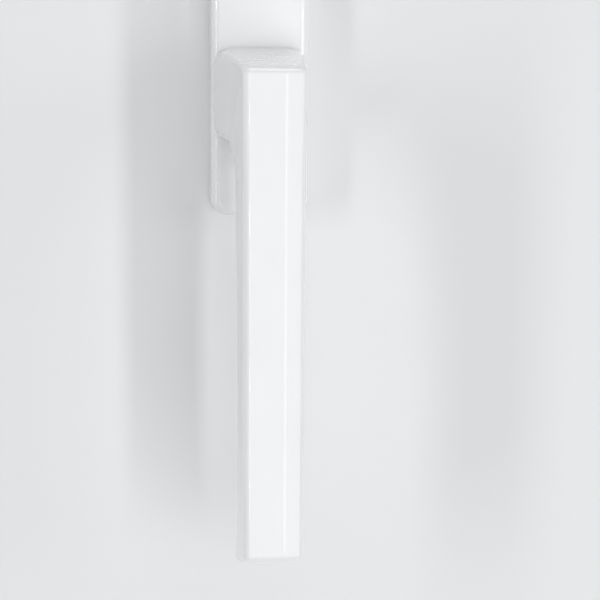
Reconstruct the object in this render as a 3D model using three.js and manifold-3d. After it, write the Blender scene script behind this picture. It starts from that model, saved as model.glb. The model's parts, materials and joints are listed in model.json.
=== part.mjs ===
// Window handle: a die-cast lever that turns on a narrow base, with a square spindle for the
// window's gear. Millimetres, +Z up. The handle is fixed to a sash face in the plane y = 0 and
// stands out towards -Y. The origin is where the spindle's axis meets the sash face.
// "out" is the distance from the sash face towards the room, so y = -out.

import * as THREE from 'three';
import { mergeVertices } from 'three/addons/utils/BufferGeometryUtils.js';
import Module from 'manifold-3d';

const wasm = await Module();
wasm.setup();

// ---- Driving dimensions ----

const GAP = 0.3;

const BASE_WIDTH = 29;
const BASE_HEIGHT = 71;
const BASE_DEPTH = 11.5;
const BASE_CORNER = 4.5;
const BASE_EDGE = 2.5;
const COVER_WALL = 1.5;
const COVER_HOLE_RADIUS = 11.6;

const SCREW_SPACING = 43;
const SCREW_RADIUS = 2.5;
const SCREW_HEAD_RADIUS = 4.7;
const SCREW_HEAD_HEIGHT = 2.8;
const SCREW_REACH = 35;
const LUG_RADIUS = 5;
const LUG_LENGTH = 10;
const LUG_SEAT_DEPTH = 3;

const FOOT_WIDTH = 28;
const FOOT_HEIGHT = 27.8;
const FOOT_CORNER = 5.5;
const PROJECTION = 53;
const LEVER_REACH = 130.5;
const FRONT_TOP = 7.2;
const ARM_WIDTH_AT_HEAD = 17.6;
const ARM_WIDTH_AT_TIP = 17;
const ARM_THICKNESS = 12.5;
const WAIST_THICKNESS = 10;
const WAIST_RUN = 45;
const TIP_FLARE = 21;
const TIP_SLANT = 3.2;
const ARM_DRAFT = 0.0715;
const LEVER_EDGE = 1.9;
const NECK_STRAIGHT = 28;
const NECK_UNDERSIDE_END = 14.1;
const NECK_UNDERSIDE_RADIUS = 2.4;
const TOP_FACE_END = 42;
const TOP_FACE_RADIUS = 1.4;
const INNER_CURVE_DROP = 16.5;

const HUB_RADIUS = 8;
const JOURNAL_RADIUS = 6.7;
const JOURNAL_HALF_FLAT = 5.5;
const RING_GROOVE_RADIUS = 5.8;
const SPINDLE_SIZE = 7;
const SPINDLE_CHAMFER = 0.6;
const SPINDLE_REACH = 32;
const SPINDLE_SOCKET_DEPTH = 26;
const PIN_RADIUS = 1.25;
const PIN_WALL = 0.5;
const PIN_SLIT = 0.6;

const BUSH_RADIUS = 9.6;
const BUSH_FLANGE_RADIUS = 11.2;
const SLIDE_RING_RADIUS = 11.2;
const SLIDE_RING_BORE = 9.4;

const WEB_THICKNESS = 2.6;
const POCKET_HALF_WIDTH = 11.1;
const POCKET_HALF_HEIGHT = 11.2;
const POCKET_CORNER = 1;
const BACK_PLATE_THICKNESS = 0.8;
const BACK_PLATE_HALF_HEIGHT = 15.2;
const BACK_PLATE_CORNER = 1.8;
const SPINDLE_HOLE_RADIUS = 5.5;
const RIVET_RADIUS = 1;
const RIVET_HEAD_RADIUS = 1.4;
const RIVET_HEIGHT = 13.3;
const RIVET_REACH = 5;

const THRUST_WASHER_RADIUS = 10.4;
const WAVE_WASHER_RADIUS = 8.1;
const WAVE_HEIGHT = 0.1;
const WAVE_COUNT = 3;
const RETAINING_RING_RADIUS = 8;
const CAM_HALF_FLAT = 8;
const CAM_CORNER = 4;
const CAM_THICKNESS = 1.9;
const LEAF_THICKNESS = 0.5;
const LEAF_HALF_LENGTH = 10.4;
const LEAF_HALF_FLAT = 6.5;

const SNAP_RIB_HEIGHT = 0.5;
const SNAP_RIB_LENGTH = 5;
const SNAP_RIB_OUT = 1.6;
const SNAP_RIB_Z = 30;

// ---- Stack of the pieces along the axis, as distances out from the sash face ----

const FOOT_OUT = BASE_DEPTH + GAP;
const CARRIER_FRONT = BASE_DEPTH - COVER_WALL - GAP;
const WEB_BACK = CARRIER_FRONT - WEB_THICKNESS;
const FLANGE_BACK = CARRIER_FRONT + GAP;
const FLANGE_FRONT = FOOT_OUT - 2 * GAP;
const THRUST_FRONT = WEB_BACK - GAP;
const THRUST_BACK = THRUST_FRONT - 0.6;
const WAVE_FRONT = THRUST_BACK - GAP;
const WAVE_BACK = WAVE_FRONT - 0.5;
const CAM_FRONT = WAVE_BACK - GAP;
const CAM_BACK = CAM_FRONT - CAM_THICKNESS;
const RING_FRONT = CAM_BACK - GAP;
const RING_BACK = RING_FRONT - 0.8;
const HUB_END = BACK_PLATE_THICKNESS + GAP;
const PIN_OUT = (CARRIER_FRONT + WEB_BACK) / 2;
const SCREW_HEAD_FRONT = CARRIER_FRONT - 0.4;
const COVER_INSIDE = BASE_WIDTH / 2 - COVER_WALL;
const ARM_START = -NECK_UNDERSIDE_END - INNER_CURVE_DROP;

// ---- Solids: closed meshes joined and cut ----

function toSolid(geometry) {
  const bare = geometry.clone();
  bare.deleteAttribute('normal');
  bare.deleteAttribute('uv');
  const welded = mergeVertices(bare, 1e-5);
  return new wasm.Manifold(new wasm.Mesh({
    numProp: 3,
    vertProperties: new Float32Array(welded.attributes.position.array),
    triVerts: new Uint32Array(welded.index.array),
  }));
}

function toGeometry(solid) {
  const mesh = solid.getMesh();
  const geometry = new THREE.BufferGeometry();
  geometry.setAttribute('position', new THREE.BufferAttribute(new Float32Array(mesh.vertProperties), 3));
  geometry.setIndex(new THREE.BufferAttribute(new Uint32Array(mesh.triVerts), 1));
  return geometry;
}

// Round bar along Y between two distances out.
function bar(radius, outBack, outFront, x = 0, z = 0, sides = 40) {
  const geometry = new THREE.CylinderGeometry(radius, radius, outFront - outBack, sides);
  geometry.translate(x, -(outBack + outFront) / 2, z);
  return toSolid(geometry);
}

// Cone along Y, with one radius at its back and one at its front.
function cone(radiusBack, radiusFront, outBack, outFront, x, z, sides = 40) {
  const geometry = new THREE.CylinderGeometry(radiusBack, radiusFront, outFront - outBack, sides);
  geometry.translate(x, -(outBack + outFront) / 2, z);
  return toSolid(geometry);
}

function block(width, height, outBack, outFront, x = 0, z = 0) {
  const geometry = new THREE.BoxGeometry(width, outFront - outBack, height);
  geometry.translate(x, -(outBack + outFront) / 2, z);
  return toSolid(geometry);
}

function ring(outerRadius, innerRadius, outBack, outFront, sides = 40) {
  const outer = bar(outerRadius, outBack, outFront, 0, 0, sides);
  const inner = bar(innerRadius, outBack - 1, outFront + 1, 0, 0, sides);
  return outer.subtract(inner);
}

// Outline in x and z with round corners, as points that run anticlockwise seen from the room.
// The bottom pair of corners may have another half width and radius than the top pair.
function roundedOutline({ halfTop, halfBottom, top, bottom, radiusTop, radiusBottom }, steps) {
  const corners = [
    { x: halfTop - radiusTop, z: top - radiusTop, radius: radiusTop, start: 0 },
    { x: -halfTop + radiusTop, z: top - radiusTop, radius: radiusTop, start: 0.5 },
    { x: -halfBottom + radiusBottom, z: bottom + radiusBottom, radius: radiusBottom, start: 1 },
    { x: halfBottom - radiusBottom, z: bottom + radiusBottom, radius: radiusBottom, start: 1.5 },
  ];
  const points = [];
  for (const corner of corners) {
    for (let i = 0; i <= steps; i += 1) {
      const angle = Math.PI * (corner.start + 0.5 * i / steps);
      points.push([corner.x + corner.radius * Math.cos(angle), corner.z + corner.radius * Math.sin(angle)]);
    }
  }
  return points;
}

// Closed body through rings of equally many points, with a flat cap on the first and last ring.
function loft(rings) {
  const count = rings[0].length;
  const positions = rings.flat().flatMap((point) => [point.x, point.y, point.z]);
  const indices = [];
  for (let k = 0; k + 1 < rings.length; k += 1) {
    for (let i = 0; i < count; i += 1) {
      const a = k * count + i;
      const b = k * count + (i + 1) % count;
      indices.push(a, b, a + count, b, b + count, a + count);
    }
  }
  const last = (rings.length - 1) * count;
  for (let i = 1; i + 1 < count; i += 1) {
    indices.push(0, i + 1, i);
    indices.push(last, last + i, last + i + 1);
  }
  const geometry = new THREE.BufferGeometry();
  geometry.setAttribute('position', new THREE.Float32BufferAttribute(positions, 3));
  geometry.setIndex(indices);
  return toSolid(geometry);
}

function rectangleRing(halfWidth, halfHeight, radius, out, steps = 5) {
  const outline = roundedOutline({
    halfTop: halfWidth,
    halfBottom: halfWidth,
    top: halfHeight,
    bottom: -halfHeight,
    radiusTop: radius,
    radiusBottom: radius,
  }, steps);
  return outline.map(([x, z]) => new THREE.Vector3(x, -out, z));
}

// Plate with round corners between two distances out.
function plate(halfWidth, halfHeight, radius, outBack, outFront, steps = 5) {
  return loft([
    rectangleRing(halfWidth, halfHeight, radius, outBack, steps),
    rectangleRing(halfWidth, halfHeight, radius, outFront, steps),
  ]);
}

// The same with its front edge rounded.
function roundedPlate(halfWidth, halfHeight, radius, edge, outBack, outFront, edgeSteps = 4) {
  const rings = [rectangleRing(halfWidth, halfHeight, radius, outBack)];
  for (let i = 0; i <= edgeSteps; i += 1) {
    const angle = 0.5 * Math.PI * i / edgeSteps;
    const inset = edge * (1 - Math.cos(angle));
    const out = outFront - edge * (1 - Math.sin(angle));
    rings.push(rectangleRing(halfWidth - inset, halfHeight - inset, radius - inset, out));
  }
  return loft(rings);
}

// ---- Lever ----

const mix = (a, b, t) => a + (b - a) * t;

// Half width of the lever at a height z and a distance out: the arm tapers towards its tip, and
// the sides flare from the front face back to the foot.
function leverHalfWidth(out, z) {
  const along = THREE.MathUtils.clamp((FRONT_TOP - z) / (FRONT_TOP + LEVER_REACH), 0, 1);
  const front = mix(ARM_WIDTH_AT_HEAD, ARM_WIDTH_AT_TIP, along) / 2;
  const back = PROJECTION - out;
  const neck = PROJECTION - FOOT_OUT;
  const flare = (FOOT_WIDTH / 2 - ARM_WIDTH_AT_HEAD / 2 - ARM_DRAFT * neck) / (neck * neck);
  return front + ARM_DRAFT * back + flare * back * back;
}

// The lever is a row of sections that fan round its elbow. Each section spans from a point on
// the inner contour to a point on the outer contour, both as [out, z].
function leverStations() {
  const stations = [];
  const elbowOut = PROJECTION - LEVER_EDGE;
  const footTop = FOOT_HEIGHT / 2;
  const topSlope = (FRONT_TOP - footTop) / (PROJECTION - FOOT_OUT);
  const neckSteps = 6;
  for (let i = 0; i <= neckSteps; i += 1) {
    const t = i / neckSteps;
    const outerOut = mix(FOOT_OUT, TOP_FACE_END, t);
    stations.push({
      inner: [mix(FOOT_OUT, NECK_STRAIGHT, t), -mix(footTop, NECK_UNDERSIDE_END, t)],
      outer: [outerOut, footTop + topSlope * (outerOut - FOOT_OUT)],
      innerRadius: mix(FOOT_CORNER, NECK_UNDERSIDE_RADIUS, t),
      outerRadius: mix(FOOT_CORNER, TOP_FACE_RADIUS, 1 - (1 - t) ** 2.2),
    });
  }
  const curveSteps = 12;
  const elbowStart = 3;
  const elbowEnd = 7;
  for (let i = 1; i <= curveSteps; i += 1) {
    const angle = 0.5 * Math.PI * i / curveSteps;
    const inner = [
      mix(NECK_STRAIGHT, PROJECTION - ARM_THICKNESS, Math.sin(angle)),
      -NECK_UNDERSIDE_END - INNER_CURVE_DROP * (1 - Math.cos(angle)),
    ];
    let outer;
    if (i < elbowStart) {
      const out = mix(TOP_FACE_END, elbowOut, i / elbowStart);
      outer = [out, footTop + topSlope * (out - FOOT_OUT)];
    } else if (i <= elbowEnd) {
      const turn = 0.5 * Math.PI * (i - elbowStart) / (elbowEnd - elbowStart);
      outer = [elbowOut + LEVER_EDGE * Math.sin(turn), FRONT_TOP - LEVER_EDGE * (1 - Math.cos(turn))];
    } else {
      const t = (i - elbowEnd) / (curveSteps - elbowEnd);
      outer = [PROJECTION, mix(FRONT_TOP - LEVER_EDGE, -NECK_UNDERSIDE_END - INNER_CURVE_DROP, t)];
    }
    const t = i / curveSteps;
    stations.push({
      inner,
      outer,
      innerRadius: mix(NECK_UNDERSIDE_RADIUS, LEVER_EDGE, t),
      outerRadius: mix(TOP_FACE_RADIUS, LEVER_EDGE, Math.min(1, 2 * t)),
    });
  }
  return stations;
}

function leverRing({ inner, outer, innerRadius, outerRadius }, inset = 0, steps = 4) {
  const length = Math.hypot(outer[0] - inner[0], outer[1] - inner[1]);
  const outline = roundedOutline({
    halfTop: leverHalfWidth(...outer) - inset,
    halfBottom: leverHalfWidth(...inner) - inset,
    top: length - inset,
    bottom: inset,
    radiusTop: Math.max(outerRadius - inset, 0.3),
    radiusBottom: Math.max(innerRadius - inset, 0.3),
  }, steps);
  return outline.map(([x, across]) => new THREE.Vector3(
    x,
    -mix(inner[0], outer[0], across / length),
    mix(inner[1], outer[1], across / length),
  ));
}

// The arm's thickness at a height z of its back: it narrows to a waist for the fingers and
// thickens again towards the tip.
function armThickness(z) {
  const intoWaist = THREE.MathUtils.smoothstep(ARM_START - z, 0, WAIST_RUN);
  const outOfWaist = THREE.MathUtils.smoothstep(TIP_FLARE - LEVER_REACH - TIP_SLANT - z, 0, TIP_FLARE);
  return mix(ARM_THICKNESS, WAIST_THICKNESS, intoWaist - outOfWaist);
}

// Section of the arm a share of the way from the elbow to the tip, whose end face is slanted.
function armStation(share, drop = 0) {
  const innerZ = mix(ARM_START, LEVER_EDGE - LEVER_REACH - TIP_SLANT, share);
  return {
    inner: [PROJECTION - armThickness(innerZ), innerZ - drop],
    outer: [PROJECTION, mix(ARM_START, LEVER_EDGE - LEVER_REACH, share) - drop],
    innerRadius: LEVER_EDGE,
    outerRadius: LEVER_EDGE,
  };
}

function leverBody() {
  const rings = leverStations().map((station) => leverRing(station));
  const armSteps = 12;
  for (let i = 1; i <= armSteps; i += 1) {
    rings.push(leverRing(armStation(i / armSteps)));
  }
  const edgeSteps = 4;
  for (let i = 1; i <= edgeSteps; i += 1) {
    const angle = 0.5 * Math.PI * i / edgeSteps;
    rings.push(leverRing(armStation(1, LEVER_EDGE * Math.sin(angle)), LEVER_EDGE * (1 - Math.cos(angle))));
  }
  return loft(rings);
}

function lever() {
  const groove = ring(SLIDE_RING_RADIUS + GAP, SLIDE_RING_BORE - GAP, FOOT_OUT - 1, FOOT_OUT + 0.9);
  const socketSize = SPINDLE_SIZE + 2 * GAP;
  const socket = block(socketSize, socketSize, 0, SPINDLE_SOCKET_DEPTH + GAP);
  const flatSpan = block(2 * JOURNAL_HALF_FLAT, 4 * HUB_RADIUS, 0, WEB_BACK);
  const ringGroove = ring(HUB_RADIUS, RING_GROOVE_RADIUS, RING_BACK - GAP, RING_FRONT + GAP);
  const journal = bar(JOURNAL_RADIUS, HUB_END, WEB_BACK + 0.1).intersect(flatSpan).subtract(ringGroove);
  return leverBody()
    .subtract(groove)
    .add(bar(HUB_RADIUS, WEB_BACK, FOOT_OUT + 1))
    .add(journal)
    .subtract(socket)
    .subtract(pinDrill(PIN_RADIUS + GAP, 4 * HUB_RADIUS));
}

// ---- Base: cap, carrier, bush and back plate ----

// Short ribs inside the cap that snap into notches in the carrier's sides, near its ends.
function snapBlocks(height, clearance) {
  const blocks = [];
  for (const side of [-1, 1]) {
    for (const end of [-1, 1]) {
      const x = side * (COVER_INSIDE + 0.1 - height / 2);
      const length = SNAP_RIB_LENGTH + 2 * clearance;
      const back = SNAP_RIB_OUT - clearance;
      blocks.push(block(height + 0.2, length, back, SNAP_RIB_OUT + 1 + clearance, x, end * SNAP_RIB_Z));
    }
  }
  return blocks;
}

function coverCap() {
  const halfWidth = BASE_WIDTH / 2;
  const halfHeight = BASE_HEIGHT / 2;
  const shell = roundedPlate(halfWidth, halfHeight, BASE_CORNER, BASE_EDGE, 0, BASE_DEPTH);
  const cavity = roundedPlate(
    COVER_INSIDE,
    halfHeight - COVER_WALL,
    BASE_CORNER - COVER_WALL,
    BASE_EDGE - COVER_WALL,
    -1,
    BASE_DEPTH - COVER_WALL,
    2,
  );
  const hole = bar(COVER_HOLE_RADIUS, 0, BASE_DEPTH + 1, 0, 0, 48);
  let cap = shell.subtract(cavity).subtract(hole);
  for (const rib of snapBlocks(SNAP_RIB_HEIGHT, 0)) {
    cap = cap.add(rib);
  }
  return cap;
}

function screwSink(z) {
  const clear = 0.4;
  const coneBack = SCREW_HEAD_FRONT - SCREW_HEAD_HEIGHT;
  const sink = cone(SCREW_RADIUS + clear, SCREW_HEAD_RADIUS + clear, coneBack, SCREW_HEAD_FRONT, 0, z, 32);
  const mouth = bar(SCREW_HEAD_RADIUS + clear, SCREW_HEAD_FRONT - 0.01, BASE_DEPTH, 0, z, 32);
  return sink.add(mouth);
}

function basePlate() {
  const inset = COVER_WALL + GAP;
  const halfWidth = BASE_WIDTH / 2 - inset;
  const halfHeight = BASE_HEIGHT / 2 - inset;
  const recess = BACK_PLATE_THICKNESS + GAP;
  let body = roundedPlate(halfWidth, halfHeight, BASE_CORNER - inset, 0.6, 0, CARRIER_FRONT, 2);
  body = body.subtract(bar(BUSH_RADIUS + GAP, 0, BASE_DEPTH));
  body = body.subtract(plate(POCKET_HALF_WIDTH, POCKET_HALF_HEIGHT, POCKET_CORNER, -1, WEB_BACK));
  body = body.subtract(plate(
    POCKET_HALF_WIDTH + GAP,
    BACK_PLATE_HALF_HEIGHT + GAP,
    BACK_PLATE_CORNER + GAP,
    -1,
    recess,
  ));
  for (const side of [-1, 1]) {
    const z = side * SCREW_SPACING / 2;
    body = body.subtract(bar(SCREW_RADIUS + GAP, -1, BASE_DEPTH, 0, z, 28));
    body = body.subtract(bar(LUG_RADIUS + GAP, -1, LUG_SEAT_DEPTH, 0, z, 32));
    body = body.subtract(screwSink(z));
    body = body.subtract(bar(RIVET_RADIUS + GAP, 0, RIVET_REACH + GAP, 0, side * RIVET_HEIGHT, 16));
  }
  for (const notch of snapBlocks(SNAP_RIB_HEIGHT + GAP, GAP)) {
    body = body.subtract(notch);
  }
  return body;
}

function guideBush() {
  const sleeve = ring(BUSH_RADIUS, HUB_RADIUS + GAP, WEB_BACK + 0.1, FLANGE_BACK + 0.1);
  const flange = ring(BUSH_FLANGE_RADIUS, HUB_RADIUS + GAP, FLANGE_BACK, FLANGE_FRONT);
  return sleeve.add(flange);
}

function slideRing() {
  return ring(SLIDE_RING_RADIUS, SLIDE_RING_BORE, FLANGE_FRONT + GAP, FOOT_OUT + 0.6);
}

function backPlate() {
  let body = plate(POCKET_HALF_WIDTH, BACK_PLATE_HALF_HEIGHT, BACK_PLATE_CORNER, 0, BACK_PLATE_THICKNESS);
  body = body.subtract(bar(SPINDLE_HOLE_RADIUS, -1, BASE_DEPTH, 0, 0, 32));
  for (const side of [-1, 1]) {
    const z = side * RIVET_HEIGHT;
    body = body.subtract(bar(RIVET_RADIUS + GAP, -1, BASE_DEPTH, 0, z, 20));
    body = body.subtract(cone(RIVET_HEAD_RADIUS + GAP, RIVET_RADIUS + GAP, -0.01, 0.6, 0, z, 20));
  }
  return body;
}

function backPlateRivet(z) {
  const head = cone(RIVET_HEAD_RADIUS, RIVET_RADIUS, 0, 0.6, 0, z, 20);
  return head.add(bar(RIVET_RADIUS, 0.3, RIVET_REACH, 0, z, 20));
}

// ---- Detent: cam, leaf springs, washers and retaining ring ----

function journalBore(outBack, outFront) {
  const round = bar(JOURNAL_RADIUS + GAP, outBack, outFront);
  return round.intersect(block(2 * (JOURNAL_HALF_FLAT + GAP), 4 * HUB_RADIUS, outBack, outFront));
}

function detentCam() {
  const body = plate(CAM_HALF_FLAT, CAM_HALF_FLAT, CAM_CORNER, CAM_BACK, CAM_FRONT);
  return body.subtract(journalBore(CAM_BACK - 1, CAM_FRONT + 1));
}

// Bent strip: its middle lies on the cam's flat, its ends lean on the pocket's side wall.
function detentSpring(side) {
  const flatX = CAM_HALF_FLAT + GAP;
  const endX = POCKET_HALF_WIDTH - GAP - LEAF_THICKNESS;
  const inside = [
    [endX, -LEAF_HALF_LENGTH],
    [flatX, -LEAF_HALF_FLAT],
    [flatX, LEAF_HALF_FLAT],
    [endX, LEAF_HALF_LENGTH],
  ];
  const outside = inside.map(([x, z]) => [x + LEAF_THICKNESS, z]).reverse();
  const shape = new THREE.Shape([...inside, ...outside].map(([x, z]) => new THREE.Vector2(side * x, z)));
  const overhang = 0.2;
  const depth = CAM_FRONT - CAM_BACK + 2 * overhang;
  const geometry = new THREE.ExtrudeGeometry(shape, { depth, bevelEnabled: false });
  geometry.rotateX(Math.PI / 2);
  geometry.translate(0, overhang - CAM_BACK, 0);
  return toSolid(geometry);
}

function thrustWasher() {
  return ring(THRUST_WASHER_RADIUS, JOURNAL_RADIUS + GAP, THRUST_BACK, THRUST_FRONT);
}

// Thin ring that rises and falls along its circumference.
function waveWasher() {
  const bore = JOURNAL_RADIUS + GAP;
  const profile = [
    new THREE.Vector2(bore, -WAVE_FRONT + WAVE_HEIGHT),
    new THREE.Vector2(WAVE_WASHER_RADIUS, -WAVE_FRONT + WAVE_HEIGHT),
    new THREE.Vector2(WAVE_WASHER_RADIUS, -WAVE_BACK - WAVE_HEIGHT),
    new THREE.Vector2(bore, -WAVE_BACK - WAVE_HEIGHT),
    new THREE.Vector2(bore, -WAVE_FRONT + WAVE_HEIGHT),
  ];
  const geometry = new THREE.LatheGeometry(profile, 48);
  const position = geometry.attributes.position;
  for (let i = 0; i < position.count; i += 1) {
    const angle = Math.atan2(position.getZ(i), position.getX(i));
    position.setY(i, position.getY(i) + WAVE_HEIGHT * Math.cos(WAVE_COUNT * angle));
  }
  return toSolid(geometry);
}

// Open ring with two eyes for circlip pliers.
function retainingRing() {
  const bore = RING_GROOVE_RADIUS + GAP;
  const eyeRadius = 1.4;
  const eyeHoleRadius = 0.6;
  const eyeX = 2.1;
  const eyeZ = -RETAINING_RING_RADIUS + eyeHoleRadius;
  let body = ring(RETAINING_RING_RADIUS, bore, RING_BACK, RING_FRONT);
  for (const side of [-1, 1]) {
    const eye = bar(eyeRadius, RING_BACK, RING_FRONT, side * eyeX, eyeZ, 20);
    body = body.add(eye).subtract(bar(eyeHoleRadius, 0, BASE_DEPTH, side * eyeX, eyeZ, 12));
  }
  const opening = 2 * (eyeX - eyeRadius) + 0.2;
  const slot = block(opening, 6, 0, BASE_DEPTH, 0, eyeZ - 1);
  return body.subtract(bar(bore, 0, BASE_DEPTH)).subtract(slot);
}

// ---- Spindle, pin, screws and lugs ----

function pinDrill(radius, length) {
  const drill = new THREE.CylinderGeometry(radius, radius, length, 20);
  drill.rotateZ(Math.PI / 2);
  drill.translate(0, -PIN_OUT, 0);
  return toSolid(drill);
}

function spindle() {
  const half = SPINDLE_SIZE / 2;
  const end = 0.5;
  const rings = [
    rectangleRing(half - end, half - end, SPINDLE_CHAMFER, -SPINDLE_REACH, 1),
    rectangleRing(half, half, SPINDLE_CHAMFER, end - SPINDLE_REACH, 1),
    rectangleRing(half, half, SPINDLE_CHAMFER, SPINDLE_SOCKET_DEPTH, 1),
  ];
  return loft(rings).subtract(pinDrill(PIN_RADIUS + GAP, 4 * half));
}

// Rolled from strip, so it has a slit along its length.
function spindleRollPin() {
  const length = 2 * HUB_RADIUS - 0.6;
  const slit = Math.asin(PIN_SLIT / 2 / PIN_RADIUS);
  const shape = new THREE.Shape();
  shape.absarc(0, 0, PIN_RADIUS, slit, 2 * Math.PI - slit, false);
  shape.absarc(0, 0, PIN_RADIUS - PIN_WALL, 2 * Math.PI - slit, slit, true);
  shape.closePath();
  const geometry = new THREE.ExtrudeGeometry(shape, {
    depth: length,
    bevelEnabled: false,
    curveSegments: 10,
  });
  geometry.translate(0, 0, -length / 2);
  geometry.rotateY(Math.PI / 2);
  geometry.translate(0, -PIN_OUT, 0);
  return toSolid(geometry);
}

// Countersunk screw with a cross recess and a chamfered tip.
function fixingScrew(z) {
  const headBack = SCREW_HEAD_FRONT - SCREW_HEAD_HEIGHT;
  const rim = 0.4;
  const tip = 1;
  const head = cone(SCREW_RADIUS, SCREW_HEAD_RADIUS, headBack, SCREW_HEAD_FRONT - rim, 0, z, 32);
  const cap = bar(SCREW_HEAD_RADIUS, SCREW_HEAD_FRONT - rim - 0.01, SCREW_HEAD_FRONT, 0, z, 32);
  const shank = bar(SCREW_RADIUS, tip - SCREW_REACH, headBack + 0.1, 0, z, 32);
  const point = cone(SCREW_RADIUS - 0.7, SCREW_RADIUS, -SCREW_REACH, tip - SCREW_REACH + 0.01, 0, z, 32);
  const recessBack = SCREW_HEAD_FRONT - 2;
  return head.add(cap).add(shank).add(point)
    .subtract(block(5, 1.1, recessBack, BASE_DEPTH, 0, z))
    .subtract(block(1.1, 5, recessBack, BASE_DEPTH, 0, z));
}

// Sleeve round the screw that sits in the sash and keeps the base from turning.
function locatingLug(z) {
  const chamfer = 0.8;
  const seat = LUG_SEAT_DEPTH - GAP;
  const sleeve = bar(LUG_RADIUS, chamfer - LUG_LENGTH, seat, 0, z, 32);
  const nose = cone(LUG_RADIUS - chamfer, LUG_RADIUS, -LUG_LENGTH, chamfer - LUG_LENGTH + 0.01, 0, z, 32);
  return sleeve.add(nose).subtract(bar(SCREW_RADIUS + GAP, -LUG_LENGTH - 1, seat + 1, 0, z, 28));
}

// ---- Finishes ----

const finishes = {
  whiteEnamel: { color: 0xf1f2f4, roughness: 0.22, metalness: 0 },
  whitePlastic: { color: 0xeff0f1, roughness: 0.3, metalness: 0 },
  naturalPlastic: { color: 0xe4e2da, roughness: 0.5, metalness: 0 },
  greyPlastic: { color: 0x8d9093, roughness: 0.55, metalness: 0 },
  castZinc: { color: 0x9a9da1, roughness: 0.5, metalness: 0.9 },
  platedSteel: { color: 0xc3c6c9, roughness: 0.3, metalness: 1 },
  springSteel: { color: 0x70757b, roughness: 0.35, metalness: 1 },
};

function piece(name, solid, finish) {
  const mesh = new THREE.Mesh(toGeometry(solid), new THREE.MeshStandardMaterial(finishes[finish]));
  mesh.name = name;
  return mesh;
}

// ---- Assembly ----

const handle = new THREE.Group();

const turning = new THREE.Group();
turning.add(piece('lever', lever(), 'whiteEnamel'));
turning.add(piece('slide_ring', slideRing(), 'naturalPlastic'));
turning.add(piece('spindle', spindle(), 'platedSteel'));
turning.add(piece('spindle_roll_pin', spindleRollPin(), 'springSteel'));
turning.add(piece('thrust_washer', thrustWasher(), 'platedSteel'));
turning.add(piece('wave_washer', waveWasher(), 'springSteel'));
turning.add(piece('detent_cam', detentCam(), 'castZinc'));
turning.add(piece('retaining_ring', retainingRing(), 'springSteel'));
handle.add(turning);

const base = new THREE.Group();
base.add(piece('cover_cap', coverCap(), 'whitePlastic'));
base.add(piece('base_plate', basePlate(), 'castZinc'));
base.add(piece('guide_bush', guideBush(), 'naturalPlastic'));
base.add(piece('back_plate', backPlate(), 'platedSteel'));
base.add(piece('detent_spring_left', detentSpring(-1), 'springSteel'));
base.add(piece('detent_spring_right', detentSpring(1), 'springSteel'));
for (const [end, side] of [['upper', 1], ['lower', -1]]) {
  const screwHeight = side * SCREW_SPACING / 2;
  base.add(piece(`back_plate_rivet_${end}`, backPlateRivet(side * RIVET_HEIGHT), 'platedSteel'));
  base.add(piece(`fixing_screw_${end}`, fixingScrew(screwHeight), 'platedSteel'));
  base.add(piece(`locating_lug_${end}`, locatingLug(screwHeight), 'greyPlastic'));
}
handle.add(base);

export default handle;
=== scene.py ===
"""Window handle: the fine surfaces, finishes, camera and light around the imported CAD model.

Metres, +Z up. The handle is fixed to a sash face in the plane y = 0 and stands out towards -Y.
"out" is the distance from the sash face towards the room, so y = -out.
"""
import json
import math

import bmesh
import bpy
from mathutils import Matrix, Vector

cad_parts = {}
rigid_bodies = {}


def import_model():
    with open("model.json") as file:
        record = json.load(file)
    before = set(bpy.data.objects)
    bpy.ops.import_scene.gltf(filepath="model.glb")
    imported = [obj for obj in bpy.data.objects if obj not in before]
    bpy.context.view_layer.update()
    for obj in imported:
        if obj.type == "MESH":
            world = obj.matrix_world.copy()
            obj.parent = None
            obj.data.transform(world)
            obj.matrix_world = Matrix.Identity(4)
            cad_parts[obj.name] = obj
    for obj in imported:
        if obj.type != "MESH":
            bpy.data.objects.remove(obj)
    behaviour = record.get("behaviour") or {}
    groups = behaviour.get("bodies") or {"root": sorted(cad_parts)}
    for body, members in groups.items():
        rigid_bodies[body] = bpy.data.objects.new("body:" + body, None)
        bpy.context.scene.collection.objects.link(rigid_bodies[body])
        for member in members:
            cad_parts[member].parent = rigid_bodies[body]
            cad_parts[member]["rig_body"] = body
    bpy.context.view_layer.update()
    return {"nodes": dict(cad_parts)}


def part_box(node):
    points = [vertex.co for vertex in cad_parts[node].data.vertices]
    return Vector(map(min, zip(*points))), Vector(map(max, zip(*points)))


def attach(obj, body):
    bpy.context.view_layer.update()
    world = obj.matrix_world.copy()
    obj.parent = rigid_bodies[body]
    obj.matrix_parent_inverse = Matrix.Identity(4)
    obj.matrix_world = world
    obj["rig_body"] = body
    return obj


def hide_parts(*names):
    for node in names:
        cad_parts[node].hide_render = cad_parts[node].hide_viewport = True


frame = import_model()

MM = 0.001


# ---- Places and sizes, in metres, read from the CAD nodes ----

def out_span(node):
    """How far out of the sash face a node starts and ends."""
    low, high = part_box(node)
    return -high.y, -low.y


def half_size(node):
    low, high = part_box(node)
    return (high.x - low.x) / 2, (high.z - low.z) / 2


LEVER_LOW, LEVER_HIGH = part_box("lever")
PROJECTION = -LEVER_LOW.y
TIP_SLANT = 3.2 * MM
LEVER_REACH = 130.47 * MM
FOOT_HALF_WIDTH = LEVER_HIGH.x
FOOT_HALF_HEIGHT = LEVER_HIGH.z
HUB_END = -LEVER_HIGH.y

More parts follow.
